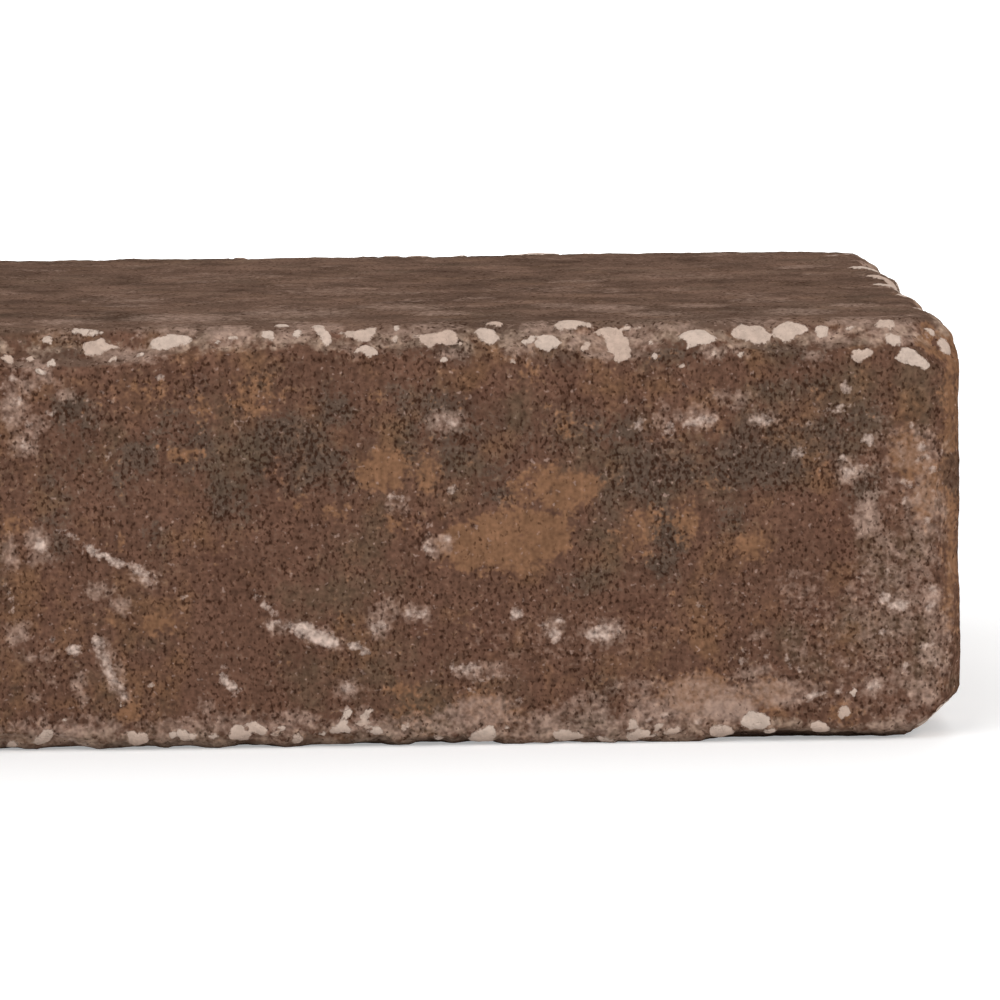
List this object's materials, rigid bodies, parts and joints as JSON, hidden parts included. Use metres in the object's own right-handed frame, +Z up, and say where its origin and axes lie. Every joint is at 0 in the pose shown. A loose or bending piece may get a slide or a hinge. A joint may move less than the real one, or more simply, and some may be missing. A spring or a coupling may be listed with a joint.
{
  "type": "concrete paver",
  "caption": "Rectangular tumbled concrete paver, a solid block with rounded, spalled arrises and broken corners, laid flat on sand to pave a path, patio or drive.",
  "frame": {"origin": "middle of the bedding face, on the floor that the paver lies on", "axes": "+X along the length, +Y from the front long side to the back one, +Z up to the wearing face"},
  "size_m": [0.21, 0.14, 0.06],
  "materials": {
    "concrete": "matt, pitted dry-cast concrete in a red-brown, charcoal and tan blend, with pale aggregate and lime scuffs showing on the worn arrises"
  },
  "bodies": {
    "root": {"paver": "concrete"}
  },
  "joints": []
}
